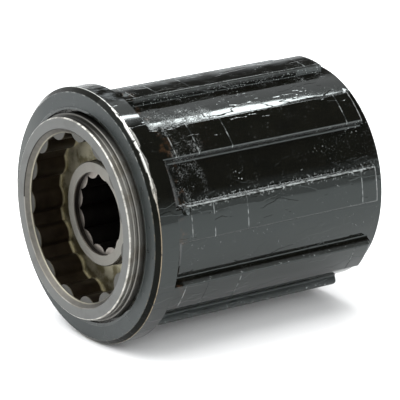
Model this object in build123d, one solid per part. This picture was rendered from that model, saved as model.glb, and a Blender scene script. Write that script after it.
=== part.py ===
"""Splined cassette freehub body of a bicycle rear hub.

The freehub's axis is +Y. The hub side faces -Y, the outboard (sprocket lockring) end faces +Y and
+Z is up. The origin is on the axis, in the plane of the driver flange's hub-side face. An angle in
this file is measured in the XZ plane, from +X towards +Z. All sizes are in millimetres.
"""

from build123d import *
import os
from math import acos, cos, degrees, hypot, pi, radians, sin

# ---- Driver body: the black outer shell that carries the sprockets
flange_radius = 18.6
flange_thickness = 3.6
flange_front_chamfer = 0.7
driver_length = 41.3
spline_count = 9
spline_top_radius = 17.4
spline_root_radius = 16.0
spline_width = 5.1
index_spline_extra_width = 1.6
index_spline_number = 5
spline_clock = 7.4
spline_top_fillet = 0.35
spline_root_fillet = 0.4
spline_end_round = 0.5
spline_ramp_length = 3.05
root_ramp_length = 2.3
root_ramp_curve = 0.928  # radius of the concave ramp over its chord
nose_length = 1.9
nose_chamfer = 0.3
turning_mark_positions = (10.6, 16.3, 36.5)
turning_mark_depth = 0.05
turning_mark_width = 0.16
relief_pit_radius = 0.85
relief_pit_depth = 0.75
relief_pit_angles = (85.0, 14.2, -29.2)
relief_pit_position = 6.0

# ---- Lockring thread in the outboard mouth (30.6 mm x 24 threads per inch)
lockring_thread_radius = 15.3
lockring_thread_pitch = 25.4 / 24
lockring_thread_length = 5.0
lockring_thread_relief = 0.3
lockring_thread_height = 0.55  # of the pitch

# ---- Ball rows
ball_radius = 3.175 / 2
ball_spacing = 2.04  # of the ball's radius
ball_pitch_radius = 12.95
inboard_row_position = 7.0
outboard_row_position = 30.5
race_clearance = 0.03
race_shoulder_height = 0.65
outboard_race_edge = 2.0
outboard_seal_bore_edge = 0.8

# ---- Ratchet
tooth_count = 36
tooth_tip_radius = 13.25
tooth_root_radius = 14.3
ratchet_start = 9.8
ratchet_length = 8.8
bore_relief_step = 0.35
bore_relief_from_ratchet = 1.2
bore_relief_to_row = 4.0
pawl_count = 3
pawl_width = 7.0
pawl_pivot_radius = 11.25
pawl_heel_radius = 1.35
pawl_tip_angle = 29.5
pawl_tip_depth_clearance = 0.25
pawl_tip_thickness = 1.5
pawl_back_clearance = 0.15
pawl_swing = 10.0
pawl_clearance = 0.06
pawl_tooth_gap = 0.25
pawl_spring_width = 3.0
pawl_spring_thickness = 0.25
pawl_spring_clearance = 0.02
pocket_side_clearance = 0.1
pocket_depth_under_tip = 0.75
pocket_length_past_tip = 0.6

# ---- Inner body: the ratchet carrier with the hub-side spline socket
socket_face_position = -1.95
socket_ring_radius = 14.63
socket_ring_edge = 0.15
socket_groove_position = -1.15
socket_groove_size = 0.22
socket_shoulder_radius = 15.0
socket_shoulder_start = -0.63
socket_shoulder_length = 1.5
socket_shoulder_edge = 0.12
socket_mouth_radius = 13.0
socket_mouth_depth = 0.8
socket_root_radius = 12.25
socket_lobe_count = 15
socket_lobe_tip_radius = 11.35
socket_lobe_radius = 2.1
socket_lobe_clock = 16.0
socket_valley_fillet = 0.25
socket_depth = 5.95
seal_land_gap = 0.3375
carrier_radius = 12.85
carrier_length = 10.0
inner_tube_radius = 12.0
inner_body_row_gap = 1.1125
bolt_hole_clearance = 0.08
bolt_seat_position = 9.0
bolt_chamber_clearance = 0.2
cup_thread_length = 6.9
cup_thread_clearance = 0.03

# ---- Shims and threaded bearing cup
shim_thicknesses = (0.4, 0.3, 0.2)
shim_thread_clearance = 0.1
shim_step = 0.2
cup_wall_share = 0.5238  # of the room between the cup's bore and the inner body's outside
cup_flange_gap = 0.7
cup_flange_offset = 0.3125
cup_length_past_row = 5.0
cup_land_step = 0.2875
cup_bore_clearance = 0.15
axle_ball_radius = 6.35 / 2
axle_ball_pitch_radius = 8.6
axle_bowl_clearance = 0.075
axle_bowl_offset = 3.3
cup_notch_width = 4.0
cup_notch_depth = 1.2
cup_notch_floor_step = 0.85

# ---- Seals and dust cap
flange_recess_radius = 15.42
flange_recess_depth = 4.4
seal_running_gap = 0.3
seal_front_gap = 0.45
seal_case_wall = 0.4
seal_case_clearance = 0.02
seal_lip_gap = 0.02
outboard_seal_offset = 0.15
outboard_seal_length = 0.9
outboard_seal_depth = 0.6
outboard_seal_bore_step = 0.0125
dust_cap_thickness = 0.4
dust_cap_depth = 1.3
dust_cap_stand_out = 0.35
dust_cap_hole_radius = 8.0
axle_lip_hole_radius = 7.1
axle_lip_thickness = 0.7

# ---- Hollow fixing bolt, drawn back into the body as supplied
bolt_end_position = 2.15
bolt_radius = 7.6
bolt_thread_pitch = 1.0
bolt_thread_depth = 0.35
bolt_thread_length = 12.0
bolt_head_step = 1.1
bolt_head_length = 4.2
bolt_travel = 8.8
bolt_travel_gap = 0.2
bolt_washer_thickness = 0.8
bolt_edge_chamfer = 0.12
bolt_mouth_radius = 6.06
bolt_mouth_depth = 0.85
drive_lobe_count = 12
drive_tip_radius = 5.05
drive_root_radius = 5.95
drive_lobe_radius = 2.1
drive_lobe_clock = 22.5
drive_length = 9.0
bolt_bore_radius = 5.8

# ---- Worked out from the sizes above
race_groove_radius = ball_radius + race_clearance
balls_per_row = int(2 * pi * ball_pitch_radius / (ball_spacing * ball_radius))
inner_race_land_radius = ball_pitch_radius - ball_radius + race_shoulder_height
outer_race_land_radius = ball_pitch_radius + ball_radius - race_shoulder_height
seal_land_radius = outer_race_land_radius - seal_land_gap
outboard_seal_bore_radius = outer_race_land_radius + outboard_seal_bore_step
outboard_seal_radius = outboard_seal_bore_radius - seal_running_gap
cup_flange_radius = outboard_seal_bore_radius - cup_flange_gap
cup_notch_floor_radius = cup_flange_radius - cup_notch_floor_step
cup_land_radius = inner_race_land_radius + cup_land_step
spline_end = driver_length - nose_length
spline_start = flange_thickness + spline_ramp_length
socket_floor_position = socket_face_position + socket_depth
socket_shoulder_end = socket_shoulder_start + socket_shoulder_length
carrier_start = ratchet_start - 0.5
carrier_end = carrier_start + carrier_length
ratchet_end = ratchet_start + ratchet_length
pawl_middle = (ratchet_start + ratchet_end) / 2
pawl_tip_radius = tooth_root_radius - pawl_tip_depth_clearance
bolt_hole_radius = bolt_radius + bolt_hole_clearance
inner_body_end = outboard_row_position - ball_radius - inner_body_row_gap
cup_flange_start = outboard_row_position + ball_radius + cup_flange_offset
cup_end = outboard_row_position + cup_length_past_row
axle_bowl_position = outboard_row_position + axle_bowl_offset
outboard_seal_position = cup_flange_start + outboard_seal_offset
cup_shoulder_position = inner_body_end + sum(shim_thicknesses)
cup_start = cup_shoulder_position - cup_thread_length
bolt_head_radius = bolt_radius + bolt_head_step
bolt_chamber_radius = bolt_head_radius + bolt_chamber_clearance
cup_bore_radius = bolt_head_radius + cup_bore_clearance
cup_thread_radius = cup_bore_radius + cup_wall_share * (inner_tube_radius - cup_bore_radius)
shim_inner_radius = cup_thread_radius + shim_thread_clearance
shim_outer_radius = inner_tube_radius - shim_step
axle_bowl_radius = axle_ball_radius + axle_bowl_clearance
cup_mouth_radius = axle_ball_pitch_radius + axle_bowl_radius
cup_chamber_start = cup_start - 0.3
lockring_thread_start = driver_length - lockring_thread_length
bolt_washer_position = bolt_seat_position + bolt_travel_gap + bolt_travel
bolt_head_position = bolt_washer_position + bolt_washer_thickness
bolt_head_end = bolt_head_position + bolt_head_length


# ---- Helpers
def turned(outline):
    """Turn a closed outline of (radius, position along the axis) points about the Y axis."""
    return revolve(make_face(Polyline(*outline, close=True)), axis=Axis.Y)


def ring(inner_radius, outer_radius, start, end):
    """A plain ring about the Y axis, or a disc when its inner radius is 0."""
    return turned([(inner_radius, start), (outer_radius, start), (outer_radius, end), (inner_radius, end)])


def prism(section, start, end):
    """Extrude a section drawn in the XZ plane between two positions along the axis."""
    return extrude(Plane.XZ.offset(-start) * section, amount=start - end)


def polar(radius, angle):
    """The (x, z) point at a radius and an angle in degrees."""
    return (radius * cos(radians(angle)), radius * sin(radians(angle)))


def race_groove(position):
    """The torus swept by one row of balls, with its running clearance."""
    return revolve(Plane.XY * Pos(ball_pitch_radius, position) * Circle(race_groove_radius), axis=Axis.Y)


def thread_grooves(crest_radius, start, end, pitch, depth):
    """V grooves at the pitch of a thread, cut inwards (depth > 0) or outwards (depth < 0)."""
    over = -depth * 0.2
    count = int((end - start) / pitch)
    grooves = []
    for turn in range(count):
        middle = start + (turn + 0.5) * pitch
        half = 0.4 * pitch
        grooves.append(
            turned(
                [
                    (crest_radius - over, middle - half),
                    (crest_radius - depth, middle),
                    (crest_radius - over, middle + half),
                ]
            )
        )
    return grooves


def lobed_hole(root_radius, tip_radius, lobe_radius, lobe_count, clock, valley_fillet):
    """The section of a hole whose wall carries round lobes that point inwards."""
    section = Sketch() + Circle(root_radius)
    for lobe in range(lobe_count):
        angle = clock + lobe * 360 / lobe_count
        section -= Pos(*polar(tip_radius + lobe_radius, angle)) * Circle(lobe_radius)
    if valley_fillet > 0:
        corners = section.vertices().filter_by(lambda v: (v.X**2 + v.Y**2) ** 0.5 > root_radius - 0.05)
        section = fillet(corners, valley_fillet)
    return section


# ---- Driver body
def spline_section():
    """The nine-spline outline, rounded at the crests and at the roots."""
    section = Sketch() + Circle(spline_root_radius)
    for number in range(spline_count):
        width = spline_width
        if number == index_spline_number:
            width += index_spline_extra_width
        rib = Pos(spline_top_radius / 2, 0) * Rectangle(spline_top_radius * 1.2, width)
        section += Rot(0, 0, spline_clock + number * 360 / spline_count) * rib
    section = section & Circle(spline_top_radius)
    middle_radius = (spline_top_radius + spline_root_radius) / 2
    crests = section.vertices().filter_by(lambda v: (v.X**2 + v.Y**2) ** 0.5 > middle_radius)
    section = fillet(crests, spline_top_fillet)
    roots = section.vertices().filter_by(lambda v: (v.X**2 + v.Y**2) ** 0.5 < spline_root_radius + 0.05)
    return fillet(roots, spline_root_fillet)


def spline_envelope():
    """The turned shape that the splines fill: a ramp from the flange, and a rounded end."""
    end_round = min(spline_end_round, spline_top_radius - spline_root_radius)
    with BuildSketch() as profile:
        with BuildLine():
            Polyline(
                (0, flange_thickness / 2),
                (flange_radius, flange_thickness / 2),
                (flange_radius, flange_thickness),
                (spline_top_radius, spline_start),
                (spline_top_radius, spline_end - end_round),
            )
            RadiusArc(
                (spline_top_radius, spline_end - end_round),
                (spline_top_radius - end_round, spline_end),
                -end_round,
            )
            Polyline(
                (spline_top_radius - end_round, spline_end),
                (0, spline_end),
                (0, flange_thickness / 2),
            )
        make_face()
    return revolve(profile.sketch, axis=Axis.Y)


def driver_core():
    """Flange, concave ramp from its back edge to the spline roots, and plain nose."""
    ramp_end = flange_thickness + root_ramp_length
    with BuildSketch() as profile:
        with BuildLine():
            Polyline(
                (0, 0),
                (flange_radius - flange_front_chamfer, 0),
                (flange_radius, flange_front_chamfer),
                (flange_radius, flange_thickness),
            )
            RadiusArc(
                (flange_radius, flange_thickness),
                (spline_root_radius, ramp_end),
                root_ramp_curve * hypot(flange_radius - spline_root_radius, root_ramp_length),
            )
            Polyline(
                (spline_root_radius, ramp_end),
                (spline_root_radius, driver_length - nose_chamfer),
                (spline_root_radius - nose_chamfer, driver_length),
                (0, driver_length),
                (0, 0),
            )
        make_face()
    return revolve(profile.sketch, axis=Axis.Y)


def tooth_face_angle(radius):
    """The angle between a pawl's pivot and its tooth's steep face, which is an arc about the pivot."""
    x, y = polar(pawl_tip_radius, pawl_tip_angle)
    reach = hypot(x - pawl_pivot_radius, y)
    cosine = (pawl_pivot_radius**2 + radius**2 - reach**2) / (2 * pawl_pivot_radius * radius)
    return degrees(acos(cosine))


def ratchet_teeth():
    """The saw-toothed hole: each steep face drives a pawl towards a larger angle."""
    outline = []
    pitch = 360 / tooth_count
    face_lean = tooth_face_angle(tooth_tip_radius) - tooth_face_angle(tooth_root_radius)
    for tooth in range(tooth_count):
        outline.append(polar(tooth_root_radius, tooth * pitch))
        outline.append(polar(tooth_tip_radius, (tooth + 1) * pitch - face_lean))
    return prism(make_face(Polyline(*outline, close=True)), ratchet_start, ratchet_end)


def make_driver_body():
    splines = prism(spline_section(), flange_thickness / 2, spline_end) & spline_envelope()
    body = driver_core() + splines
    body -= ring(0, flange_recess_radius, -1, flange_recess_depth)
    body -= ring(0, outer_race_land_radius, -1, ratchet_start)
    body -= ring(0, tooth_tip_radius, -1, outboard_row_position)
    body -= ratchet_teeth()
    relief_start = ratchet_end + bore_relief_from_ratchet
    body -= ring(0, tooth_tip_radius + bore_relief_step, relief_start, outboard_row_position - bore_relief_to_row)
    body -= ring(0, outer_race_land_radius, outboard_row_position - outboard_race_edge, driver_length + 1)
    seal_bore_start = outboard_row_position + outboard_seal_bore_edge
    body -= ring(0, outboard_seal_bore_radius, seal_bore_start, driver_length + 1)
    thread_crest = lockring_thread_radius - lockring_thread_height * lockring_thread_pitch
    body -= ring(0, thread_crest, lockring_thread_start - lockring_thread_relief, driver_length + 1)
    body -= ring(0, lockring_thread_radius, lockring_thread_start - lockring_thread_relief, lockring_thread_start)
    thread_depth = thread_crest - lockring_thread_radius
    for groove in thread_grooves(
        thread_crest, lockring_thread_start, driver_length, lockring_thread_pitch, thread_depth
    ):
        body -= groove
    body -= race_groove(inboard_row_position)
    body -= race_groove(outboard_row_position)
    for position in turning_mark_positions:
        half = turning_mark_width / 2
        body -= turned(
            [
                (spline_top_radius + 0.1, position - 2 * half),
                (spline_top_radius - turning_mark_depth, position - half / 2),
                (spline_top_radius - turning_mark_depth, position + half / 2),
                (spline_top_radius + 0.1, position + 2 * half),
            ]
        )
    for angle in relief_pit_angles:
        x, z = polar(spline_top_radius + 0.3 + relief_pit_radius - relief_pit_depth, angle)
        body -= Pos(x, relief_pit_position, z) * Sphere(relief_pit_radius)
    return body


# ---- Ratchet pawls, drawn lifted clear of the teeth, and their pockets
def lifted(radius, angle):
    """A point of the engaged pawl, seen from its pivot, once the pawl is swung clear of the teeth."""
    x, y = polar(radius, angle)
    x -= pawl_pivot_radius
    turn = radians(-pawl_swing)
    return (x * cos(turn) - y * sin(turn), x * sin(turn) + y * cos(turn))


def pawl_tip():
    """The outer and inner corners of the pawl's tip, whose end face is radial when engaged."""
    outer = lifted(pawl_tip_radius, -pawl_tip_angle)
    inner = lifted(pawl_tip_radius - pawl_tip_thickness, -pawl_tip_angle)
    return outer, inner


def pawl_section(grow):
    """One pawl in its own frame: pivot at the origin, outwards is +X, tip towards -Y."""
    tip_outer, tip_inner = pawl_tip()
    tooth_angle = 0.7 * 360 / tooth_count
    back_radius = tooth_tip_radius - pawl_back_clearance
    blade = make_face(
        Polyline(
            (pawl_heel_radius * 0.95, 0),
            lifted(back_radius - 0.15, -pawl_tip_angle * 0.45),
            lifted(back_radius, tooth_angle - pawl_tip_angle),
            tip_outer,
            tip_inner,
            (-pawl_heel_radius * 0.95, tip_inner[1] * 0.45),
            (-pawl_heel_radius * 0.95, 0),
            close=True,
        )
    )
    return Sketch() + Circle(pawl_heel_radius + grow) + blade


def pawl_angle(number):
    """The angle of a pawl's pivot, placed so that its tip swings into a tooth space."""
    return tooth_face_angle(tooth_root_radius) + pawl_tooth_gap + number * 360 / pawl_count


def place_pawl(section, number):
    """Move a section from the pawl's own frame to the place of one pawl."""
    return Rot(0, 0, pawl_angle(number)) * Pos(pawl_pivot_radius, 0) * section


def make_pawl(number):
    half = pawl_width / 2
    return prism(place_pawl(pawl_section(0), number), pawl_middle - half, pawl_middle + half)


def pocket_floor():
    """How far inwards of the pivot the pocket's floor lies under the tip."""
    return pawl_tip()[1][0] - pocket_depth_under_tip


def pocket_section():
    """The pocket in the carrier: round behind the heel, open outwards from the heel to the tip."""
    floor = pocket_floor()
    end = pawl_tip()[0][1] - pocket_length_past_tip
    outside = carrier_radius - pawl_pivot_radius + 2 * pawl_heel_radius
    room = pawl_heel_radius + pawl_clearance
    mouth = make_face(
        Polyline(
            (0, pawl_clearance),
            (outside, pawl_clearance),
            (outside, end),
            (floor, end),
            (floor, end * 0.42),
            (-room, end * 0.2),
            (-room, 0),
            close=True,
        )
    )
    return Sketch() + Circle(room) + mouth


def make_pawl_spring(number):
    """A leaf that lies on the pocket's floor and bows up under the pawl's tip."""
    floor = pocket_floor() + pawl_spring_clearance
    tip = pawl_tip()[1][1]
    rise = pocket_depth_under_tip / 3
    thickness = pawl_spring_thickness
    leaf = make_face(
        Polyline(
            (floor, tip * 0.6),
            (floor, tip * 0.8),
            (floor + rise, tip - 0.3),
            (floor + rise + thickness, tip - 0.3),
            (floor + thickness, tip * 0.8),
            (floor + thickness, tip * 0.6),
            close=True,
        )
    )
    half = pawl_spring_width / 2
    return prism(place_pawl(Sketch() + leaf, number), pawl_middle - half, pawl_middle + half)


# ---- Inner body
def make_inner_body():
    edge = socket_ring_edge
    groove = socket_groove_size
    shoulder_edge = socket_shoulder_edge
    body = turned(
        [
            (0, socket_face_position),
            (socket_ring_radius - edge, socket_face_position),
            (socket_ring_radius, socket_face_position + edge),
            (socket_ring_radius, socket_groove_position - groove / 2),
            (socket_ring_radius - groove / 2, socket_groove_position),
            (socket_ring_radius, socket_groove_position + groove / 2),
            (socket_ring_radius, socket_shoulder_start),
            (socket_shoulder_radius - shoulder_edge, socket_shoulder_start),
            (socket_shoulder_radius, socket_shoulder_start + shoulder_edge),
            (socket_shoulder_radius, socket_shoulder_end),
            (seal_land_radius, socket_shoulder_end + 0.2),
            (seal_land_radius, flange_recess_depth + 0.2),
            (inner_race_land_radius + 0.5, inboard_row_position - ball_radius),
            (inner_race_land_radius, inboard_row_position),
            (inner_race_land_radius, carrier_start),
            (carrier_radius, carrier_start),
            (carrier_radius, carrier_end),
            (inner_tube_radius, carrier_end + 0.5),
            (inner_tube_radius, inner_body_end),
            (0, inner_body_end),
        ]
    )
    body -= race_groove(inboard_row_position)
    body -= prism(
        lobed_hole(
            socket_root_radius,
            socket_lobe_tip_radius,
            socket_lobe_radius,
            socket_lobe_count,
            socket_lobe_clock,
            socket_valley_fillet,
        ),
        socket_face_position - 1,
        socket_floor_position,
    )
    body -= turned(
        [
            (0, socket_face_position - 1),
            (socket_mouth_radius, socket_face_position - 1),
            (socket_mouth_radius, socket_face_position),
            (socket_root_radius + 0.05, socket_face_position + socket_mouth_depth),
            (0, socket_face_position + socket_mouth_depth),
        ]
    )
    body -= ring(0, bolt_hole_radius, socket_face_position, bolt_seat_position + 1)
    body -= ring(0, bolt_chamber_radius, bolt_seat_position, inner_body_end + 1)
    body -= ring(0, cup_thread_radius + cup_thread_clearance, cup_chamber_start, inner_body_end + 1)
    half = pawl_width / 2 + pocket_side_clearance
    for number in range(pawl_count):
        body -= prism(place_pawl(pocket_section(), number), pawl_middle - half, pawl_middle + half)
    return body


# ---- Balls, shims and bearing cup
def make_ball_row(position, clock):
    """One row of loose balls, each a solid of its own."""
    balls = []
    for number in range(balls_per_row):
        x, z = polar(ball_pitch_radius, clock + number * 360 / balls_per_row)
        balls.append(Pos(x, position, z) * Sphere(ball_radius))
    return Compound(children=balls)


def make_shim(number):
    start = inner_body_end + sum(shim_thicknesses[:number])
    return ring(shim_inner_radius, shim_outer_radius, start, start + shim_thicknesses[number])


def make_axle_bearing_cup():
    thread_edge = 0.3
    seal_floor = cup_flange_radius - outboard_seal_depth
    seal_end = outboard_seal_position + outboard_seal_length
    cup = turned(
        [
            (0, cup_start),
            (cup_thread_radius - thread_edge, cup_start),
            (cup_thread_radius, cup_start + thread_edge),
            (cup_thread_radius, cup_shoulder_position),
            (shim_outer_radius, cup_shoulder_position),
            (inner_race_land_radius, outboard_row_position - ball_radius / 2),
            (inner_race_land_radius, outboard_row_position),
            (cup_land_radius, outboard_row_position + ball_radius / 2),
            (seal_floor, cup_flange_start),
            (seal_floor, seal_end),
            (cup_flange_radius, seal_end),
            (cup_flange_radius, cup_end - 0.3),
            (cup_flange_radius - 0.3, cup_end),
            (0, cup_end),
        ]
    )
    cup -= race_groove(outboard_row_position)
    cup -= ring(0, cup_bore_radius, cup_start - 1, cup_end + 1)
    cup -= ring(0, axle_ball_pitch_radius, axle_bowl_position - axle_bowl_radius, cup_end + 1)
    cup -= Pos(0, axle_bowl_position, 0) * Rot(90, 0, 0) * Torus(axle_ball_pitch_radius, axle_bowl_radius)
    cup -= ring(0, cup_mouth_radius, axle_bowl_position, cup_end + 1)
    for side in (0, 180):
        slot = Pos(cup_notch_floor_radius + 5, 0) * Rectangle(10, cup_notch_width)
        cup -= prism(Sketch() + Rot(0, 0, side) * slot, cup_end - cup_notch_depth, cup_end + 1)
    return cup


# ---- Seals and dust cap
def make_cup_dust_cap():
    rim = cup_mouth_radius - seal_case_clearance
    wall = dust_cap_thickness
    outer_face = cup_end + dust_cap_stand_out
    return turned(
        [
            (rim, cup_end - dust_cap_depth),
            (rim, outer_face - 0.2),
            (rim - 0.2, outer_face),
            (dust_cap_hole_radius, outer_face),
            (dust_cap_hole_radius, outer_face - wall),
            (rim - wall, outer_face - wall),
            (rim - wall, cup_end - dust_cap_depth),
        ]
    )


def make_axle_seal_lip():
    cap_inner_face = cup_end + dust_cap_stand_out - dust_cap_thickness
    return turned(
        [
            (dust_cap_hole_radius + 1.2, cap_inner_face - axle_lip_thickness),
            (dust_cap_hole_radius + 1.2, cap_inner_face),
            (dust_cap_hole_radius - seal_lip_gap, cap_inner_face),
            (dust_cap_hole_radius - seal_lip_gap, cap_inner_face + dust_cap_thickness * 0.8),
            (axle_lip_hole_radius, cap_inner_face + dust_cap_thickness * 0.3),
            (axle_lip_hole_radius, cap_inner_face - axle_lip_thickness * 0.6),
        ]
    )


def seal_case_front():
    return socket_shoulder_end + seal_front_gap


def make_inboard_seal_case():
    outer = flange_recess_radius - seal_case_clearance
    wall = seal_case_wall
    inner = seal_land_radius + 2 * seal_running_gap
    front = seal_case_front()
    back = flange_recess_depth - seal_case_clearance
    return turned(
        [
            (outer, front),
            (outer, back),
            (inner, back),
            (inner, back - wall),
            (outer - wall, back - wall),
            (outer - wall, front),
        ]
    )


def make_inboard_seal_lip():
    outer = flange_recess_radius - seal_case_clearance - seal_case_wall - seal_lip_gap
    back = flange_recess_depth - seal_case_clearance - seal_case_wall - seal_lip_gap
    front = seal_case_front()
    inner = seal_land_radius + seal_running_gap
    return turned(
        [
            (outer, front),
            (outer, back),
            (inner + 0.5, back),
            (inner, front + 1.2),
            (inner, front + 0.9),
            (inner + 0.6, front + 0.7),
            (inner + 0.6, front),
        ]
    )


def make_outboard_seal():
    floor = cup_flange_radius - outboard_seal_depth + seal_lip_gap
    start = outboard_seal_position
    end = start + outboard_seal_length - seal_lip_gap
    return turned(
        [
            (floor, start),
            (outboard_seal_radius, start + 0.25),
            (outboard_seal_radius, end - 0.15),
            (floor, end),
        ]
    )


# ---- Fixing bolt
def make_fixing_bolt():
    edge = bolt_edge_chamfer
    bolt = turned(
        [
            (0, bolt_end_position),
            (bolt_radius - edge, bolt_end_position),
            (bolt_radius, bolt_end_position + edge),
            (bolt_radius, bolt_head_position),
            (bolt_head_radius, bolt_head_position),
            (bolt_head_radius, bolt_head_end - edge),
            (bolt_head_radius - edge, bolt_head_end),
            (0, bolt_head_end),
        ]
    )
    thread_start = bolt_end_position + 2 * edge
    thread_end = bolt_end_position + bolt_thread_length
    for groove in thread_grooves(bolt_radius, thread_start, thread_end, bolt_thread_pitch, bolt_thread_depth):
        bolt -= groove
    drive_end = bolt_end_position + bolt_mouth_depth + drive_length
    drive = lobed_hole(
        drive_root_radius, drive_tip_radius, drive_lobe_radius, drive_lobe_count, drive_lobe_clock, 0
    )
    bolt -= prism(drive, bolt_end_position - 1, drive_end + 1)
    bolt -= ring(0, bolt_mouth_radius, bolt_end_position - 1, bolt_end_position + bolt_mouth_depth)
    bolt -= ring(0, bolt_bore_radius, drive_end, bolt_head_end + 1)
    return bolt


def make_bolt_washer():
    end = bolt_washer_position + bolt_washer_thickness
    return ring(bolt_hole_radius, bolt_head_radius, bolt_washer_position, end)


# ---- Every sub-part, by the name of its node
parts = {
    "driver_body": make_driver_body(),
    "inner_body": make_inner_body(),
    "inboard_balls": make_ball_row(inboard_row_position, 0),
    "outboard_balls": make_ball_row(outboard_row_position, 180 / balls_per_row),
    "axle_bearing_cup": make_axle_bearing_cup(),
    "cup_dust_cap": make_cup_dust_cap(),
    "axle_seal_lip": make_axle_seal_lip(),
    "inboard_seal_case": make_inboard_seal_case(),
    "inboard_seal_lip": make_inboard_seal_lip(),
    "outboard_seal": make_outboard_seal(),
    "fixing_bolt": make_fixing_bolt(),
    "bolt_washer": make_bolt_washer(),
}
for pawl_number in range(pawl_count):
    parts[f"pawl_{pawl_number + 1}"] = make_pawl(pawl_number)
    parts[f"pawl_spring_{pawl_number + 1}"] = make_pawl_spring(pawl_number)
for shim_number in range(len(shim_thicknesses)):
    parts[f"shim_{shim_number + 1}"] = make_shim(shim_number)

os.makedirs("parts", exist_ok=True)
for name, part in parts.items():
    export_step(part, f"parts/{name}.step")
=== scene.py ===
"""Looks for the cassette freehub body: materials on the CAD pieces, a pale studio and the camera.

Every position is in metres in the part's own frame: the freehub axis is +Y, its hub side faces -Y
and +Z is up. Materials work in millimetres, which they take from the object coordinates.
"""

import math

import bpy
from mathutils import Matrix, Vector


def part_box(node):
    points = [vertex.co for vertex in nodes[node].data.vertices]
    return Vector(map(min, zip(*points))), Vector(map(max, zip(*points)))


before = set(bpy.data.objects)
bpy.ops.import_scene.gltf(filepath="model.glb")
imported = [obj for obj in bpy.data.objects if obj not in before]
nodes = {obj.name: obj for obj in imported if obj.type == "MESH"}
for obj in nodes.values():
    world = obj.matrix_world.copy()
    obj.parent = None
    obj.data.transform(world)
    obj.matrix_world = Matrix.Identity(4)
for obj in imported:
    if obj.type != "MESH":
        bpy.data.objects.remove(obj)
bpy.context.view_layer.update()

MM = 0.001

# ---- Camera
CAMERA_AZIMUTH = 55.044
CAMERA_ELEVATION = 17.632
CAMERA_DISTANCE = 0.460
CAMERA_LENS = 285.62
CAMERA_AIM = Vector((0.0, 0.018, 0.0))
CAMERA_ASIDE = 0.001705
CAMERA_RAISE = -0.000761
SENSOR_WIDTH = 36
CLIP_NEAR = 0.01
CLIP_FAR = 20

# ---- Studio: the room's brightness in each direction, and the lamps
FLOOR_REACH = 3.0
ROOM_FRONT = 1.8
ROOM_BACK = 0.06
ROOM_LOW = 1.15
ROOM_BACKDROP = 1.1
ROOM_TINT = (0.985, 1.0, 1.01)
BACKDROP_AZIMUTH = 211
BACKDROP_ELEVATION = 49
# name, azimuth and elevation in degrees, then distance, width and height in metres, and radiance
LAMPS = (
    ("overhead", -15, 76, 1.0, 1.3, 1.3, 2.6),
    ("fill", 78, 30, 1.0, 0.9, 0.6, 2.2),
    ("strip", 199.5, 54.3, 1.5, 0.19, 0.10, 22.0),
)

# ---- Sizes that the materials follow, in millimetres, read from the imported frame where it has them
FLANGE_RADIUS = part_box("driver_body")[1].z / MM
RING_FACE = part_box("inner_body")[0].y / MM
BOLT_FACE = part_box("fixing_bolt")[0].y / MM
FLANGE_CHAMFER = 0.7
CHAMFER_LINE = FLANGE_RADIUS - FLANGE_CHAMFER
SPLINE_START = 6.65
SPLINE_END = 39.4
SPLINE_TOP = 17.4
SPLINE_ROOT = 16.0
SPLINE_PITCH = 40.0
SPLINE_CLOCK = 7.4
SPLINE_HALF_WIDTH = 2.55
INDEX_SPLINE_ANGLE = -152.6
INDEX_SPLINE_EXTRA = 0.8
TURNING_MARKS = (10.6, 16.3, 36.5)
RECESS_DEPTH = 4.4
RING_RADIUS = 14.63
SHOULDER_RADIUS = 15.0
SHOULDER_FACE = -0.63
SOCKET_MOUTH = 13.0
SOCKET_RIM = RING_FACE + 0.8
SOCKET_FLOOR = 4.0
BOLT_BORE = 6.2
DRIVE_FACE = BOLT_FACE + 0.85

# ---- Tones of the flange's front face, as linear colours
FACE_DARK = (0.0045, 0.0058, 0.0058)
FACE_LIGHT = (0.0095, 0.0115, 0.0115)
FACE_SMUDGED = (0.008, 0.009, 0.009)
FACE_NICKED = (0.002, 0.002, 0.002)
# painted highlight: the tone of the face's left side
FACE_LIT_LEFT = (0.050, 0.052, 0.048)

# ---- Dust on the ribs and in the grooves: the middle and half of its angle in degrees, its start
# and end along the axis, the two noise levels between which it builds up, and its strength
DUST_PATCHES = (
    (47.0, 8.0, 7.0, 10.5, 0.50, 0.70, 0.60),
    (64.0, 5.0, 6.0, 16.0, 0.47, 0.68, 0.55),
    (27.0, 9.0, 6.5, 10.0, 0.51, 0.70, 0.55),
    (78.0, 7.0, 7.0, 39.0, 0.54, 0.74, 0.55),
)


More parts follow.
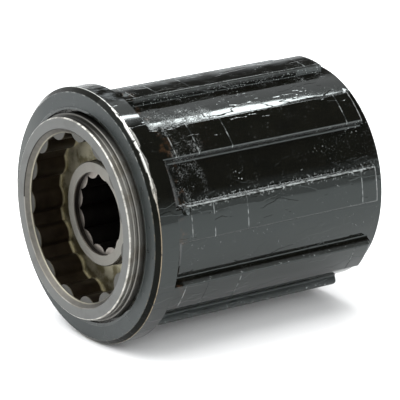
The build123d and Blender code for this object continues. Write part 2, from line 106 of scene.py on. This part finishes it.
# ---- Node helpers
class Tree:
    """A node tree, with short calls for the nodes that the looks use."""

    def __init__(self, tree):
        self.tree = tree

    def node(self, kind, **settings):
        made = self.tree.nodes.new(kind)
        for key, value in settings.items():
            setattr(made, key, value)
        return made

    def feed(self, socket, value):
        """Link an output socket, or set a plain value."""
        if isinstance(value, bpy.types.NodeSocket):
            self.tree.links.new(value, socket)
        elif isinstance(value, (tuple, list)) and len(value) == 3 and socket.type == "RGBA":
            socket.default_value = (*value, 1.0)
        else:
            socket.default_value = value

    def math(self, operation, a, b=0.0):
        made = self.node("ShaderNodeMath", operation=operation)
        self.feed(made.inputs[0], a)
        self.feed(made.inputs[1], b)
        return made.outputs[0]

    def axes(self, vector):
        made = self.node("ShaderNodeSeparateXYZ")
        self.feed(made.inputs[0], vector)
        return made.outputs

    def vector(self, x, y, z):
        made = self.node("ShaderNodeCombineXYZ")
        for socket, value in zip(made.inputs, (x, y, z)):
            self.feed(socket, value)
        return made.outputs[0]

    def ramp(self, value, low, high, out_low=0.0, out_high=1.0):
        """A smooth step from out_low at low to out_high at high."""
        made = self.node("ShaderNodeMapRange", interpolation_type="SMOOTHSTEP")
        self.feed(made.inputs["Value"], value)
        self.feed(made.inputs["From Min"], low)
        self.feed(made.inputs["From Max"], high)
        self.feed(made.inputs["To Min"], out_low)
        self.feed(made.inputs["To Max"], out_high)
        return made.outputs["Result"]

    def band(self, value, middle, half, soft):
        """1 within half of middle, fading to 0 over soft."""
        away = self.math("ABSOLUTE", self.math("SUBTRACT", value, middle))
        return self.ramp(away, half, half + soft, 1.0, 0.0)

    def mix(self, share, a, b):
        made = self.node("ShaderNodeMix", data_type="RGBA")
        self.feed(made.inputs[0], share)
        self.feed(made.inputs[6], a)
        self.feed(made.inputs[7], b)
        return made.outputs[2]

    def blend(self, share, a, b):
        """Mix two numbers."""
        made = self.node("ShaderNodeMix", data_type="FLOAT")
        self.feed(made.inputs[0], share)
        self.feed(made.inputs[2], a)
        self.feed(made.inputs[3], b)
        return made.outputs[0]

    def times(self, *shares):
        """The product of the shares."""
        result = shares[0]
        for share in shares[1:]:
            result = self.math("MULTIPLY", result, share)
        return result

    def most(self, *shares):
        """The largest of the shares."""
        result = shares[0]
        for share in shares[1:]:
            result = self.math("MAXIMUM", result, share)
        return result

    def rest(self, share):
        """What a share leaves of 1."""
        return self.math("SUBTRACT", 1.0, share)

    def bump(self, height, distance_mm, normal=None):
        """A bump whose height of 1 stands distance_mm proud."""
        made = self.node("ShaderNodeBump")
        self.feed(made.inputs["Height"], height)
        made.inputs["Distance"].default_value = distance_mm * MM
        made.inputs["Strength"].default_value = 1.0
        if normal is not None:
            self.feed(made.inputs["Normal"], normal)
        return made.outputs["Normal"]


class Finish(Tree):
    """A new material's node tree, and the place of the shaded point in millimetres."""

    def __init__(self, name):
        self.material = bpy.data.materials.new(name)
        self.material.use_nodes = True
        super().__init__(self.material.node_tree)
        self.tree.nodes.clear()
        self.output = self.tree.nodes.new("ShaderNodeOutputMaterial")
        self.position = self.coordinates()

    def coordinates(self):
        """The object coordinates in millimetres."""
        source = self.node("ShaderNodeTexCoord").outputs["Object"]
        scale = self.node("ShaderNodeVectorMath", operation="SCALE")
        self.feed(scale.inputs[0], source)
        scale.inputs["Scale"].default_value = 1 / MM
        return scale.outputs["Vector"]

    def cylinder(self):
        """(radius, angle in radians, place along the axis) of the shaded point."""
        x, y, z = self.axes(self.position)
        squares = self.math("ADD", self.math("MULTIPLY", x, x), self.math("MULTIPLY", z, z))
        return self.math("SQRT", squares), self.math("ARCTAN2", z, x), y

    def noise(self, scale, detail=3.0, roughness=0.5, vector=None, distortion=0.0):
        made = self.node("ShaderNodeTexNoise")
        self.feed(made.inputs["Vector"], vector or self.position)
        made.inputs["Scale"].default_value = scale
        made.inputs["Detail"].default_value = detail
        made.inputs["Roughness"].default_value = roughness
        made.inputs["Distortion"].default_value = distortion
        return made.outputs["Fac"]

    def finish(self, **sockets):
        """The material with a Principled shader; keys are its socket names with _ for a space."""
        shader = self.node("ShaderNodeBsdfPrincipled")
        for key, value in sockets.items():
            self.feed(shader.inputs[key.replace("_", " ")], value)
        self.feed(self.output.inputs["Surface"], shader.outputs[0])
        return self.material


# ---- Marks that the enamel uses
def specks(t, scale, size, share, seed=0.0):
    """Round specks: scale cells per mm, each of radius size (in cells), present in that share of cells."""
    cells = t.node("ShaderNodeTexVoronoi")
    offset = t.node("ShaderNodeVectorMath", operation="ADD")
    t.feed(offset.inputs[0], t.position)
    offset.inputs[1].default_value = (seed, seed * 0.7, seed * 1.3)
    t.feed(cells.inputs["Vector"], offset.outputs[0])
    cells.inputs["Scale"].default_value = scale
    near = t.ramp(cells.outputs["Distance"], size * 0.6, size, 1.0, 0.0)
    chosen = t.axes(cells.outputs["Color"])[0]
    return t.times(near, t.math("LESS_THAN", chosen, share))


def scratches(t, turn, thinness, low, high):
    """Fine straight scratches that all run one way: noise drawn out along one turned axis."""
    rotate = t.node("ShaderNodeVectorRotate", rotation_type="EULER_XYZ")
    t.feed(rotate.inputs["Vector"], t.position)
    rotate.inputs["Rotation"].default_value = turn
    stretch = t.node("ShaderNodeVectorMath", operation="MULTIPLY")
    t.feed(stretch.inputs[0], rotate.outputs[0])
    stretch.inputs[1].default_value = (0.25, thinness, thinness)
    return t.ramp(t.noise(1.0, 2, 0.5, stretch.outputs[0]), low, high)


# ---- Black enamel
class DriverPlace:
    """The shaded point's place on the driver body, its share of each region, and the dust's noises."""

    def __init__(self, t):
        radius, angle, along = t.cylinder()
        self.radius = radius
        self.along = along
        self.degrees = t.math("DEGREES", angle)
        self.outside = t.ramp(radius, SPLINE_ROOT - 0.25, SPLINE_ROOT - 0.1)
        self.front = t.times(t.ramp(along, 0.02, 0.05, 1.0, 0.0), self.outside)
        self.chamfer = t.times(
            t.ramp(along, 0.04, 0.08),
            t.ramp(along, 0.62, 0.68, 1.0, 0.0),
            t.ramp(radius, CHAMFER_LINE, CHAMFER_LINE + 0.05),
        )
        self.flange_rim = t.times(
            t.ramp(radius, FLANGE_RADIUS - 0.3, FLANGE_RADIUS - 0.1),
            t.ramp(along, 0.6, 0.7),
        )
        self.on_top = t.times(
            t.ramp(radius, SPLINE_TOP - 0.45, SPLINE_TOP - 0.3),
            t.ramp(along, SPLINE_START - 0.8, SPLINE_START - 0.2),
        )
        self.on_splines = t.ramp(along, SPLINE_START - 0.6, SPLINE_START)
        self.inner = t.times(
            t.ramp(radius, SPLINE_ROOT - 0.2, SPLINE_ROOT - 0.1, 1.0, 0.0),
            t.ramp(along, RECESS_DEPTH - 0.1, RECESS_DEPTH),
        )
        self.fine = t.noise(5.0, 4, 0.7)
        self.coarse = t.noise(0.5, 4, 0.65)


def rib_place(t, at):
    """Distance across the nearest rib from its middle, and that rib's half width, in mm."""
    turned = t.math("SUBTRACT", at.degrees, SPLINE_CLOCK - SPLINE_PITCH / 2)
    local = t.math("SUBTRACT", t.math("FLOORED_MODULO", turned, SPLINE_PITCH), SPLINE_PITCH / 2)
    across = t.math("MULTIPLY", at.radius, t.math("SINE", t.math("RADIANS", local)))
    index = t.band(at.degrees, INDEX_SPLINE_ANGLE, SPLINE_PITCH / 2 - 1, 1)
    half = t.math("ADD", SPLINE_HALF_WIDTH, t.math("MULTIPLY", index, INDEX_SPLINE_EXTRA))
    return t.math("ABSOLUTE", across), half


def dust_patch(t, at, middle, half, start, end, low, high):
    """Broken dust within half of an angle in degrees, from start to end along the axis."""
    around = t.band(at.degrees, middle, half, 3.0)
    lengthways = t.band(at.along, (start + end) / 2, (end - start) / 2, 1.6)
    build_up = t.math("ADD", t.math("MULTIPLY", at.fine, 0.6), t.math("MULTIPLY", at.coarse, 0.4))
    return t.times(around, lengthways, t.ramp(build_up, low, high))


def pale_dust(t, at):
    """The dust patches, and a fine powder in scattered places."""
    dust = t.times(t.ramp(at.fine, 0.54, 0.74), t.ramp(at.coarse, 0.54, 0.70), at.outside, 0.22)
    for *place, strength in DUST_PATCHES:
        dust = t.most(dust, t.times(dust_patch(t, at, *place), strength))
    return dust


def white_dots(t, at):
    """Small white dots: a scatter in patches, and more of them on the walls of the upper ribs."""
    scatter = t.most(specks(t, 1.7, 0.20, 0.10), specks(t, 3.2, 0.28, 0.14, 7.0))
    patchy = t.ramp(t.noise(0.22, 3, 0.6), 0.56, 0.64)
    fewer_below = t.ramp(at.degrees, 5.0, 20.0, 0.35, 1.0)
    scatter = t.times(scatter, patchy, fewer_below, at.outside)
    side_wall = t.times(
        t.ramp(at.radius, SPLINE_ROOT + 0.1, SPLINE_ROOT + 0.3),
        t.ramp(at.radius, SPLINE_TOP - 0.5, SPLINE_TOP - 0.3, 1.0, 0.0),
        at.on_splines,
    )
    upper_ribs = t.band(at.degrees, 76.0, 22.0, 4.0)
    return t.most(scatter, t.times(specks(t, 4.0, 0.30, 0.20, 3.0), side_wall, upper_ribs, 0.8))


def chipped_edges(t, at):
    """A broken pale line along the rib edges, strongest on the edge that faces up and sideways."""
    across, half_width = rib_place(t, at)
    edge_distance = t.math("ABSOLUTE", t.math("SUBTRACT", across, half_width))
    near_top = t.ramp(at.radius, SPLINE_TOP - 0.85, SPLINE_TOP - 0.45)
    edge = t.times(t.ramp(edge_distance, 0.03, 0.20, 1.0, 0.0), near_top, at.on_splines)
    favoured = t.band(at.degrees, 16.0, 2.6, 2.5)
    chip_level = t.math("ADD", t.noise(1.3, 5, 0.75), t.math("MULTIPLY", favoured, 0.16))
    chips = t.times(edge, t.ramp(chip_level, 0.60, 0.70))
    flaked = t.ramp(t.noise(3.0, 4, 0.7), 0.56, 0.66)
    wide = t.times(t.ramp(edge_distance, 0.1, 0.9, 1.0, 0.0), favoured, at.on_splines, flaked)
    return t.most(chips, wide, t.times(edge, 0.10))


def pale_rings(t, at):
    """Pale rings round the rib tops, at the turned marks and near both ends of the ribs."""
    places = (SPLINE_START + 0.1, *TURNING_MARKS, SPLINE_END - 0.3)
    rings = t.most(*[t.band(at.along, place, 0.03, 0.10) for place in places])
    return t.times(rings, at.on_top, t.ramp(t.noise(0.9, 3), 0.42, 0.60), 0.55)


def scored_lines(t, at):
    """Fine scratches in patches, and on the near ribs towards the lockring end."""
    lines = t.most(
        scratches(t, (0.4, 0.3, 0.9), 9.0, 0.71, 0.75),
        scratches(t, (1.1, 0.2, -0.5), 8.0, 0.71, 0.75),
    )
    far_end = t.times(t.ramp(at.along, 30.0, 33.0), t.band(at.degrees, 26.0, 10.0, 4.0))
    area = t.most(t.ramp(t.noise(0.35, 2), 0.55, 0.66), far_end)
    return t.times(lines, at.outside, area, 0.55)


def bare_edges(t, at):
    """Bare metal along both edges of the flange's chamfer, widest between +X and +Z."""
    wear = t.noise(1.1, 5, 0.7)
    line_width = t.ramp(t.noise(0.5, 3), 0.35, 0.60, 0.08, 0.42)
    line_half = t.times(t.band(at.degrees, 44.0, 12.0, 18.0), line_width)
    line_away = t.math("ABSOLUTE", t.math("SUBTRACT", at.along, FLANGE_CHAMFER))
    outer_line = t.ramp(t.math("SUBTRACT", line_away, line_half), 0.0, 0.09, 1.0, 0.0)
    outer_corner = t.times(outer_line, t.ramp(at.radius, CHAMFER_LINE + 0.4, FLANGE_RADIUS - 0.1))
    inner_line = t.band(at.radius, CHAMFER_LINE, 0.02, 0.08)
    inner_corner = t.times(inner_line, t.ramp(at.along, 0.1, 0.2, 1.0, 0.0))
    return t.most(
        t.times(outer_corner, t.ramp(wear, 0.34, 0.48)),
        t.times(inner_corner, t.ramp(wear, 0.46, 0.62), 0.30),
    )


def dusty_black(t, at, dust):
    """Black with a touch of olive, rusty tints near the flange, and the dust on top."""
    colour = t.mix(t.noise(0.3, 3), (0.0016, 0.0016, 0.0012), (0.0040, 0.0038, 0.0025))
    ramp_foot = t.band(at.along, 5.6, 1.0, 1.0)
    rust = t.times(ramp_foot, t.ramp(t.noise(0.9, 4, 0.65), 0.52, 0.66), at.outside)
    rust = t.most(rust, t.times(dust_patch(t, at, 45.0, 8.0, 9.0, 13.0, 0.50, 0.60), 0.2))
    colour = t.mix(t.times(rust, 0.8), colour, (0.026, 0.014, 0.007))
    return t.mix(dust, colour, t.mix(t.noise(2.0, 3), (0.12, 0.128, 0.127), (0.36, 0.38, 0.375)))


def painted_top_sheen(t, at):
    """Painted sheen: pale streaks along the axis on top of the flange's rim and of the upper rib."""
    on_rim = t.times(at.flange_rim, t.band(at.degrees, 88.0, 11.0, 8.0))
    on_rim = t.times(on_rim, t.ramp(t.noise(0.7, 4, 0.6), 0.38, 0.6))
    upper_rib = t.times(t.ramp(at.degrees, 84.0, 93.0), t.ramp(at.degrees, 118.0, 126.0, 1.0, 0.0))
    on_rib = t.times(upper_rib, at.on_top, t.ramp(t.noise(0.35, 3, 0.5), 0.34, 0.60))
    drawn_out = t.vector(t.math("MULTIPLY", at.degrees, 0.5), t.math("MULTIPLY", at.along, 0.25), 0.0)
    streaks = t.noise(1.0, 4, 0.6, drawn_out)
    return t.times(t.most(on_rim, on_rib), t.ramp(streaks, 0.30, 0.62))


def satin_face(t, at):
    """The flange's front face: its turned tone with a painted highlight on its left side, and the share
    with smudges or nicks.
    """
    smudge = t.ramp(t.noise(0.45, 5, 0.65), 0.54, 0.66)
    nicks = t.ramp(t.noise(1.4, 4, 0.7, None, 0.8), 0.60, 0.64)
    nicks = t.times(nicks, t.ramp(t.noise(0.16, 2), 0.46, 0.54))
    # painted highlight: the left side of the face is drawn lighter
    lit_left_side = t.ramp(t.axes(t.position)[0], -18.0, -9.0, 0.95, 0.0)
    tone = t.mix(t.noise(4.0, 2, 0.5, t.vector(at.radius, 0.0, 0.0)), FACE_DARK, FACE_LIGHT)
    tone = t.mix(t.times(smudge, 0.5), tone, FACE_SMUDGED)
    tone = t.mix(lit_left_side, tone, FACE_LIT_LEFT)
    tone = t.mix(t.times(nicks, 0.8), tone, FACE_NICKED)
    return tone, t.most(smudge, nicks)


def coat_normal(t, at, dust):
    """The coat lies in shallow waves along the axis with pooled edges, and dust stands on it."""
    run = t.node("ShaderNodeVectorMath", operation="MULTIPLY")
    t.feed(run.inputs[0], t.position)
    run.inputs[1].default_value = (1.0, 0.30, 1.0)
    waves = t.noise(0.25, 2, 0.4, run.outputs[0])
    pooled = t.ramp(t.noise(0.40, 3, 0.5, run.outputs[0]), 0.53, 0.56)
    height = t.math("ADD", waves, t.math("MULTIPLY", pooled, 0.16))
    height = t.math("ADD", height, t.math("MULTIPLY", t.noise(7.0, 2), 0.006))
    coated = t.rest(t.most(at.front, at.inner))
    return t.bump(dust, 0.012, t.bump(t.times(height, coated), 0.10))


def black_enamel():
    """Glossy black enamel over steel, with chips, scratches and dust, and a satin front face."""
    t = Finish("black_enamel")
    at = DriverPlace(t)
    bare = bare_edges(t, at)
    marks = (white_dots(t, at), chipped_edges(t, at), pale_rings(t, at), scored_lines(t, at))
    dust = t.most(pale_dust(t, at), *marks)
    dust = t.times(dust, t.rest(t.most(at.front, at.chamfer)), t.rest(t.times(at.flange_rim, 0.7)))
    face_tone, face_marked = satin_face(t, at)
    brass = t.mix(t.ramp(at.degrees, 5.0, 40.0), (0.22, 0.175, 0.12), (0.50, 0.50, 0.47))
    machined = t.mix(t.noise(0.5, 3), (0.20, 0.20, 0.19), (0.30, 0.30, 0.29))

    # painted sheen: pale streaks on the tops of the flange's rim and the upper rib
    colour = t.mix(painted_top_sheen(t, at), dusty_black(t, at, dust), (0.085, 0.092, 0.094))
    colour = t.mix(at.front, colour, face_tone)
    colour = t.mix(bare, colour, brass)
    colour = t.mix(at.inner, colour, machined)

    uncoated = t.most(bare, at.inner)
    rough = t.blend(dust, t.blend(t.noise(0.9, 4), 0.02, 0.10), 0.75)
    rough = t.blend(at.front, rough, t.blend(face_marked, 0.36, 0.24))
    rough = t.blend(uncoated, rough, 0.33)
    return t.finish(
        Base_Color=colour,
        Roughness=rough,
        Metallic=uncoated,
        Specular_IOR_Level=t.blend(at.chamfer, t.blend(at.front, 0.43, 0.34), 0.05),
        Specular_Tint=(0.88, 1.0, 1.0),
        Normal=coat_normal(t, at, dust),
    )


# ---- Bare metals and rubber
def toward_hub(t):
    """How far the surface faces the hub: 1 straight at it, -1 straight away."""
    normal = t.node("ShaderNodeNewGeometry").outputs["True Normal"]
    return t.math("MULTIPLY", t.axes(normal)[1], -1.0)


def flat_to_hub(t, facing):
    """1 on a face that lies square to the axis on the hub side, 0 on the others."""
    return t.ramp(facing, 0.93, 0.99)


def ring_face_tone(t, along, rings, cloud):
    """The ring's flat face, with painted shade darkening the step between it and the socket's rim."""
    tone = t.mix(rings, (0.088, 0.090, 0.087), (0.122, 0.124, 0.120))
    # painted shade: the step between the ring's face and the socket's rim is drawn darker
    tone = t.mix(t.ramp(along, RING_FACE + 0.3, SOCKET_RIM - 0.1), tone, (0.058, 0.057, 0.052))
    return t.mix(t.times(t.ramp(cloud, 0.5, 0.7), 0.35), tone, (0.065, 0.062, 0.057))


def barrel_tone(t, angle, along, hoops, cloud):
    """The turned barrel, stained in clouds, with painted shade darkening its top near the ring."""
    tone = t.mix(hoops, (0.17, 0.165, 0.15), (0.22, 0.215, 0.20))
    tone = t.mix(t.ramp(cloud, 0.42, 0.62), tone, (0.14, 0.13, 0.11))
    # painted shade: the barrel's top near the ring is drawn near-black in place of the dark it reflects
    shaded_top = t.times(t.ramp(t.math("DEGREES", angle), 45.0, 80.0), t.ramp(along, 1.5, 2.5, 1.0, 0.0))
    return t.mix(shaded_top, tone, (0.020, 0.019, 0.017))


def add_socket(t, colour, radius, along, flat, cloud):
    """The colour with the splined socket in it: its mouth, walls darkened with painted shade, floor and
    pale edges.
    """
    inside = t.times(
        t.ramp(radius, SOCKET_MOUTH - 0.15, SOCKET_MOUTH - 0.05, 1.0, 0.0),
        t.ramp(along, SOCKET_FLOOR + 0.2, SOCKET_FLOOR + 0.4, 1.0, 0.0),
    )
    on_wall = t.times(inside, t.rest(flat))
    past_rim = t.ramp(along, SOCKET_RIM - 0.1, SOCKET_RIM + 0.15)
    on_floor = t.times(inside, t.ramp(along, SOCKET_RIM + 0.5, SOCKET_RIM + 1.0), flat)
    far_edge = t.times(on_wall, t.ramp(along, SOCKET_FLOOR - 0.45, SOCKET_FLOOR - 0.15), 0.8)
    near_edge = t.times(on_wall, t.band(along, SOCKET_RIM, 0.06, 0.16), 0.35)

    mouth = t.mix(t.noise(1.2, 4), (0.055, 0.053, 0.048), (0.12, 0.113, 0.10))
    # painted shade: the socket's walls past the rim are drawn near-black
    wall = t.mix(t.noise(0.6, 4), (0.014, 0.010, 0.007), (0.042, 0.032, 0.023))
    floor = t.mix(t.ramp(cloud, 0.40, 0.60), (0.10, 0.088, 0.048), (0.28, 0.265, 0.195))
    bright = t.mix(t.noise(1.5, 3), (0.30, 0.28, 0.20), (0.62, 0.58, 0.45))
    colour = t.mix(on_wall, colour, mouth)
    colour = t.mix(t.times(on_wall, past_rim), colour, wall)
    colour = t.mix(on_floor, colour, floor)
    return t.mix(t.most(far_edge, near_edge), colour, bright)


def add_worn_corners(t, colour, radius, along):
    """The colour with the pale outer corners of the ring and of the shoulder behind it."""
    corner = t.times(
        t.band(radius, RING_RADIUS - 0.08, 0.05, 0.10),
        t.ramp(along, RING_FACE + 0.15, RING_FACE + 0.3, 1.0, 0.0),
    )
    shoulder = t.times(
        t.band(radius, SHOULDER_RADIUS - 0.07, 0.05, 0.08),
        t.ramp(along, SHOULDER_FACE + 0.1, SHOULDER_FACE + 0.3, 1.0, 0.0),
    )
    nicked = t.ramp(t.noise(1.3, 4, 0.7), 0.44, 0.60)
    colour = t.mix(t.times(corner, t.blend(nicked, 0.3, 0.9)), colour, (0.48, 0.47, 0.43))
    return t.mix(t.times(shoulder, 0.6), colour, (0.10, 0.098, 0.09))


def bare_steel():
    """Machined steel, oiled and browned with use, with painted shade darkening the socket's walls."""
    t = Finish("bare_steel")
    radius, angle, along = t.cylinder()
    flat = flat_to_hub(t, toward_hub(t))
    rings = t.noise(6.0, 3, 0.6, t.vector(radius, 0.0, 0.0))
    hoops = t.noise(5.0, 3, 0.6, t.vector(along, 0.0, 0.0))
    cloud = t.noise(0.35, 4, 0.6)

    barrel = barrel_tone(t, angle, along, hoops, cloud)
    colour = t.mix(flat, barrel, ring_face_tone(t, along, rings, cloud))
    colour = add_socket(t, colour, radius, along, flat, cloud)
    colour = add_worn_corners(t, colour, radius, along)

    rough = t.blend(flat, t.blend(t.noise(1.5, 4), 0.36, 0.50), t.blend(rings, 0.36, 0.50))
    height = t.math("ADD", t.blend(flat, hoops, rings), t.math("MULTIPLY", t.noise(2.5, 3), 0.8))
    return t.finish(Base_Color=colour, Metallic=1.0, Roughness=rough, Normal=t.bump(height, 0.006))


def bolt_steel():
    """The fixing bolt: grey turned end, pale worn drive lobes and a bore painted near-black as shade."""
    t = Finish("bolt_steel")
    radius, _, along = t.cylinder()
    facing = toward_hub(t)
    flat = flat_to_hub(t, facing)
    rings = t.noise(6.0, 3, 0.6, t.vector(radius, along, 0.0))
    steel = t.mix(rings, (0.12, 0.116, 0.103), (0.175, 0.17, 0.152))
    steel = t.mix(t.ramp(facing, 0.3, 0.7, 1.0, 0.0), steel, (0.40, 0.37, 0.32))
    steel = t.mix(t.times(t.ramp(t.noise(0.5, 4), 0.5, 0.7), 0.4), steel, (0.12, 0.11, 0.095))
    # painted shade: the bore's walls are drawn near-black
    bore = t.mix(t.noise(0.8, 3), (0.010, 0.009, 0.008), (0.030, 0.026, 0.023))
    worn = t.mix(t.noise(1.5, 3), (0.15, 0.138, 0.122), (0.24, 0.22, 0.20))
    inside = t.times(
        t.ramp(radius, BOLT_BORE - 0.1, BOLT_BORE + 0.1, 1.0, 0.0),
        t.ramp(along, BOLT_FACE + 0.1, BOLT_FACE + 0.3),
    )
    lobes = t.times(inside, flat, t.band(along, DRIVE_FACE, 0.1, 0.1))
    colour = t.mix(lobes, t.mix(inside, steel, bore), worn)
    rough = t.blend(inside, t.blend(rings, 0.34, 0.46), 0.45)
    return t.finish(Base_Color=colour, Metallic=1.0, Roughness=rough, Normal=t.bump(rings, 0.005))


def turned_metal(name, dark, light, rough, stained=0.3):
    """A turned metal piece: fine hoops, faint oily stains, and painted shade darkening it near the hub
    side, within the recess.
    """
    t = Finish(name)
    radius, _, along = t.cylinder()
    hoops = t.noise(5.0, 3, 0.6, t.vector(radius, along, 0.0))
    tone = t.mix(hoops, dark, light)
    stain = t.times(t.ramp(t.noise(0.5, 5, 0.65), 0.5, 0.72), stained)
    tone = t.mix(stain, tone, (0.10, 0.09, 0.075))
    # painted shade: the piece is drawn near-black where it lies inside the recess
    recess_shade = t.ramp(along, RECESS_DEPTH, RECESS_DEPTH + 0.6, 0.92, 0.0)
    tone = t.mix(recess_shade, tone, (0.012, 0.011, 0.010))
    roughness = t.blend(t.noise(1.4, 4), rough * 0.75, rough * 1.35)
    normal = t.bump(t.math("ADD", hoops, t.math("MULTIPLY", t.noise(2.0, 3), 0.6)), 0.005)
    return t.finish(Base_Color=tone, Metallic=1.0, Roughness=roughness, Normal=normal)


def seal_rubber():
    """Black nitrile rubber with a faint moulded grain and a greasy sheen."""
    t = Finish("seal_rubber")
    tone = t.mix(t.noise(0.8, 4), (0.010, 0.010, 0.010), (0.026, 0.024, 0.022))
    grain = t.noise(6.0, 4, 0.6)
    rough = t.blend(t.ramp(t.noise(0.6, 3), 0.4, 0.65), 0.38, 0.62)
    return t.finish(Base_Color=tone, Roughness=rough, Normal=t.bump(grain, 0.012))


MATERIALS = {
    "black_enamel": black_enamel(),
    "bare_steel": bare_steel(),
    "hard_steel": turned_metal("hard_steel", (0.22, 0.22, 0.21), (0.34, 0.34, 0.33), 0.30),
    "ball_steel": turned_metal("ball_steel", (0.52, 0.52, 0.51), (0.60, 0.60, 0.59), 0.08, stained=0.15),
    "bolt_steel": bolt_steel(),
    "plated_steel": turned_metal("plated_steel", (0.46, 0.46, 0.44), (0.60, 0.60, 0.58), 0.24),
    "spring_steel": turned_metal("spring_steel", (0.30, 0.29, 0.27), (0.42, 0.41, 0.39), 0.25),
    "seal_rubber": seal_rubber(),
}
for node in nodes.values():
    for slot in node.material_slots:
        slot.material = MATERIALS[slot.material.name.split(".")[0]]


# ---- Floor
def make_floor():
    """A pale sheet of paper that the part lies on."""
    t = Finish("floor_paper")
    tone = t.mix(t.noise(0.002, 2), (0.90, 0.90, 0.90), (0.93, 0.93, 0.93))
    level = -FLANGE_RADIUS * MM
    corners = [(x * FLOOR_REACH, y * FLOOR_REACH, level) for x, y in ((-1, -1), (1, -1), (1, 1), (-1, 1))]
    mesh = bpy.data.meshes.new("floor")
    mesh.from_pydata(corners, [], [(0, 1, 2, 3)])
    mesh.materials.append(t.finish(Base_Color=tone, Roughness=0.9))
    floor = bpy.data.objects.new("floor", mesh)
    bpy.context.scene.collection.objects.link(floor)


make_floor()


# ---- Light
def direction(azimuth, elevation):
    azimuth, elevation = math.radians(azimuth), math.radians(elevation)
    level = math.cos(elevation)
    return Vector((math.sin(azimuth) * level, -math.cos(azimuth) * level, math.sin(elevation)))


def soft_box(name, azimuth, elevation, distance, width, height, radiance):
    """A rectangular light that faces the part from that direction, of an even brightness."""
    back = direction(azimuth, elevation)
    data = bpy.data.lights.new(name, "AREA")
    data.shape = "RECTANGLE"
    data.size = width
    data.size_y = height
    data.energy = radiance * width * height * math.pi
    light = bpy.data.objects.new(name, data)
    light.rotation_mode = "QUATERNION"
    light.rotation_quaternion = (-back).to_track_quat("-Z", "Y")
    light.location = CAMERA_AIM + back * distance
    light.visible_camera = False
    bpy.context.scene.collection.objects.link(light)


for lamp in LAMPS:
    soft_box(*lamp)


def make_world():
    """A bright room in front of the part; behind it a dark one, with a pale low band and backdrop."""
    world = bpy.data.worlds.new("studio")
    bpy.context.scene.world = world
    world.use_nodes = True
    t = Tree(world.node_tree)
    look = t.node("ShaderNodeTexCoord").outputs["Generated"]
    _, depth, height = t.axes(look)
    room = t.ramp(depth, 0.24, 0.42, ROOM_FRONT, ROOM_BACK)
    radiance = t.blend(t.ramp(height, 0.06, 0.34, 1.0, 0.0), room, ROOM_LOW)
    toward = t.node("ShaderNodeVectorMath", operation="DOT_PRODUCT")
    t.feed(toward.inputs[0], look)
    toward.inputs[1].default_value = direction(BACKDROP_AZIMUTH, BACKDROP_ELEVATION)
    backdrop = t.ramp(toward.outputs["Value"], 0.955, 0.99)
    radiance = t.blend(backdrop, radiance, ROOM_BACKDROP)
    tint = t.node("ShaderNodeVectorMath", operation="SCALE")
    tint.inputs[0].default_value = ROOM_TINT
    t.feed(tint.inputs["Scale"], radiance)
    background = t.tree.nodes["Background"]
    t.feed(background.inputs["Color"], tint.outputs["Vector"])
    background.inputs["Strength"].default_value = 1.0


make_world()


# ---- Camera
def make_camera():
    """The camera of the main view: a long lens, aimed at the part and shifted a little."""
    back = direction(CAMERA_AZIMUTH, CAMERA_ELEVATION)
    azimuth = math.radians(CAMERA_AZIMUTH)
    right = Vector((math.cos(azimuth), math.sin(azimuth), 0))
    up = back.cross(right)
    data = bpy.data.cameras.new("camera")
    data.lens = CAMERA_LENS
    data.sensor_width = SENSOR_WIDTH
    data.clip_start = CLIP_NEAR
    data.clip_end = CLIP_FAR
    camera = bpy.data.objects.new("camera", data)
    turn = Matrix((right, up, back)).transposed()
    place = CAMERA_AIM + right * CAMERA_ASIDE + up * CAMERA_RAISE + back * CAMERA_DISTANCE
    camera.matrix_world = Matrix.LocRotScale(place, turn.to_quaternion(), None)
    bpy.context.scene.collection.objects.link(camera)
    bpy.context.scene.camera = camera


make_camera()
bpy.context.scene.view_settings.view_transform = "Standard"
